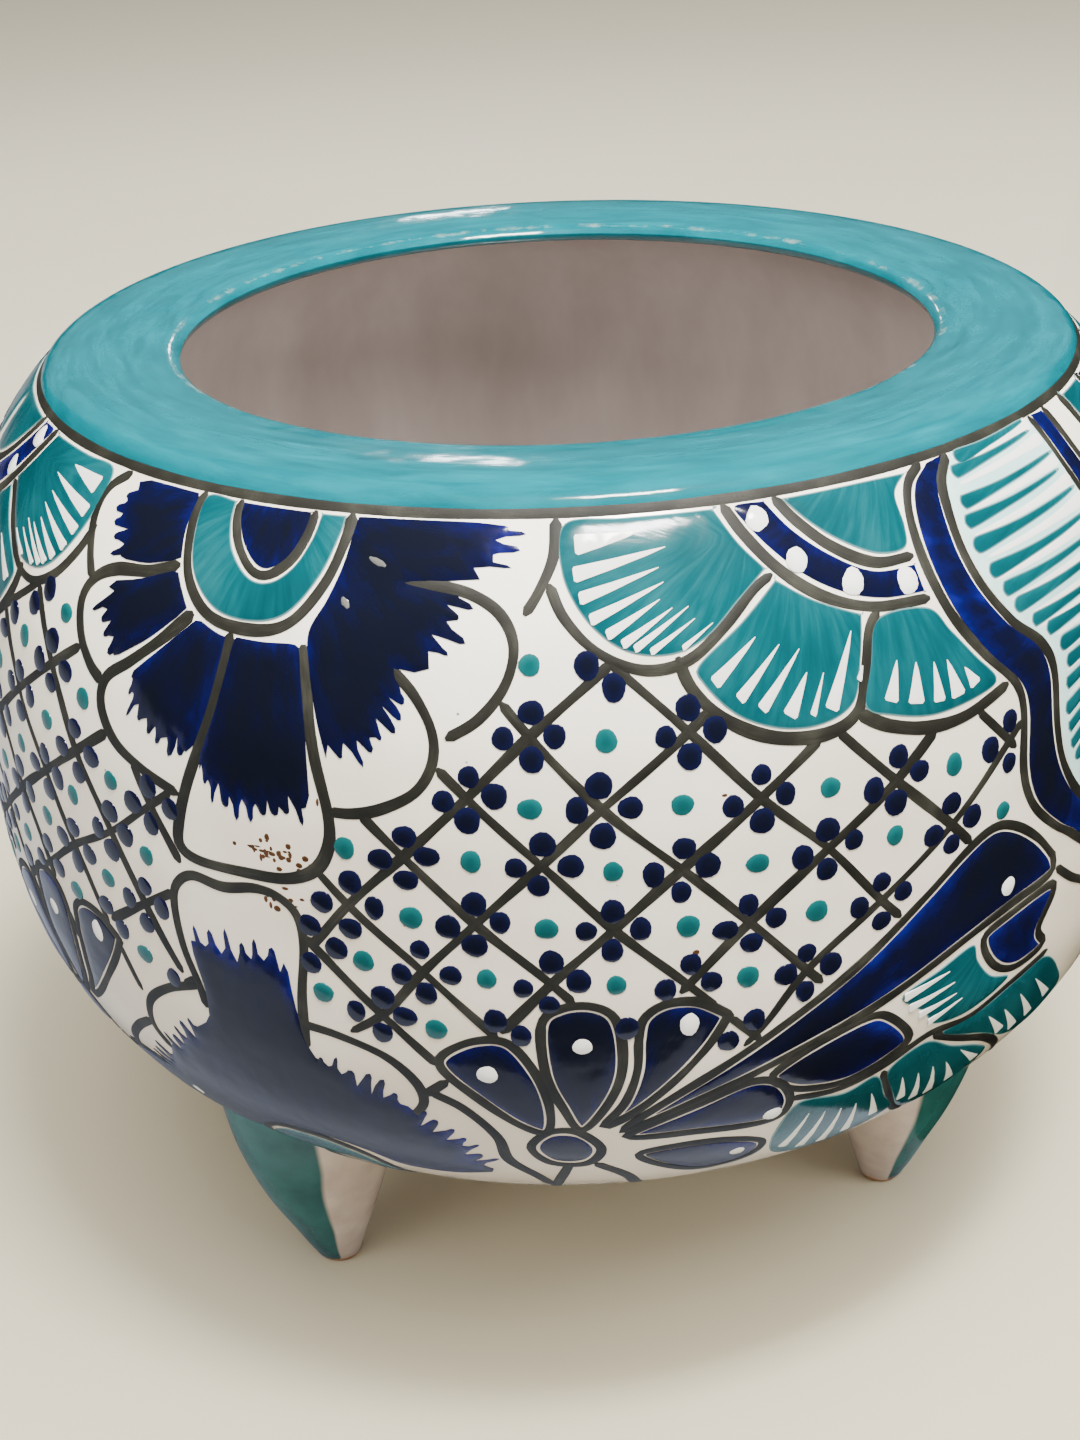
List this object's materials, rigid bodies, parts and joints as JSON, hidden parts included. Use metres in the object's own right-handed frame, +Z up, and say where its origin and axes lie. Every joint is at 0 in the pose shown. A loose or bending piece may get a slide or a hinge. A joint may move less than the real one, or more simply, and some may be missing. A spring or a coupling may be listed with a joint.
{
  "type": "footed ceramic planter",
  "caption": "Squat hand-painted tin-glazed bowl planter with a flat turned-in rim, on short tapered feet.",
  "frame": {"origin": "on the ground, under the pot's axis, at the centre of the bottom of its box", "axes": "+Z up along the pot's axis; -Y faces the painted side seen from the front"},
  "size_m": [0.3, 0.3, 0.2403],
  "materials": {
    "white_glaze": "glossy",
    "turquoise_glaze": "glossy",
    "teal_glaze": "glossy",
    "cobalt_glaze": "glossy",
    "outline_oxide": "matte",
    "inside_glaze": "glossy"
  },
  "bodies": {
    "root": {"body_shell": "white_glaze", "rim_collar": "turquoise_glaze", "foot_front_left": "teal_glaze", "foot_front_right": "teal_glaze", "foot_rear": "teal_glaze"}
  },
  "joints": []
}
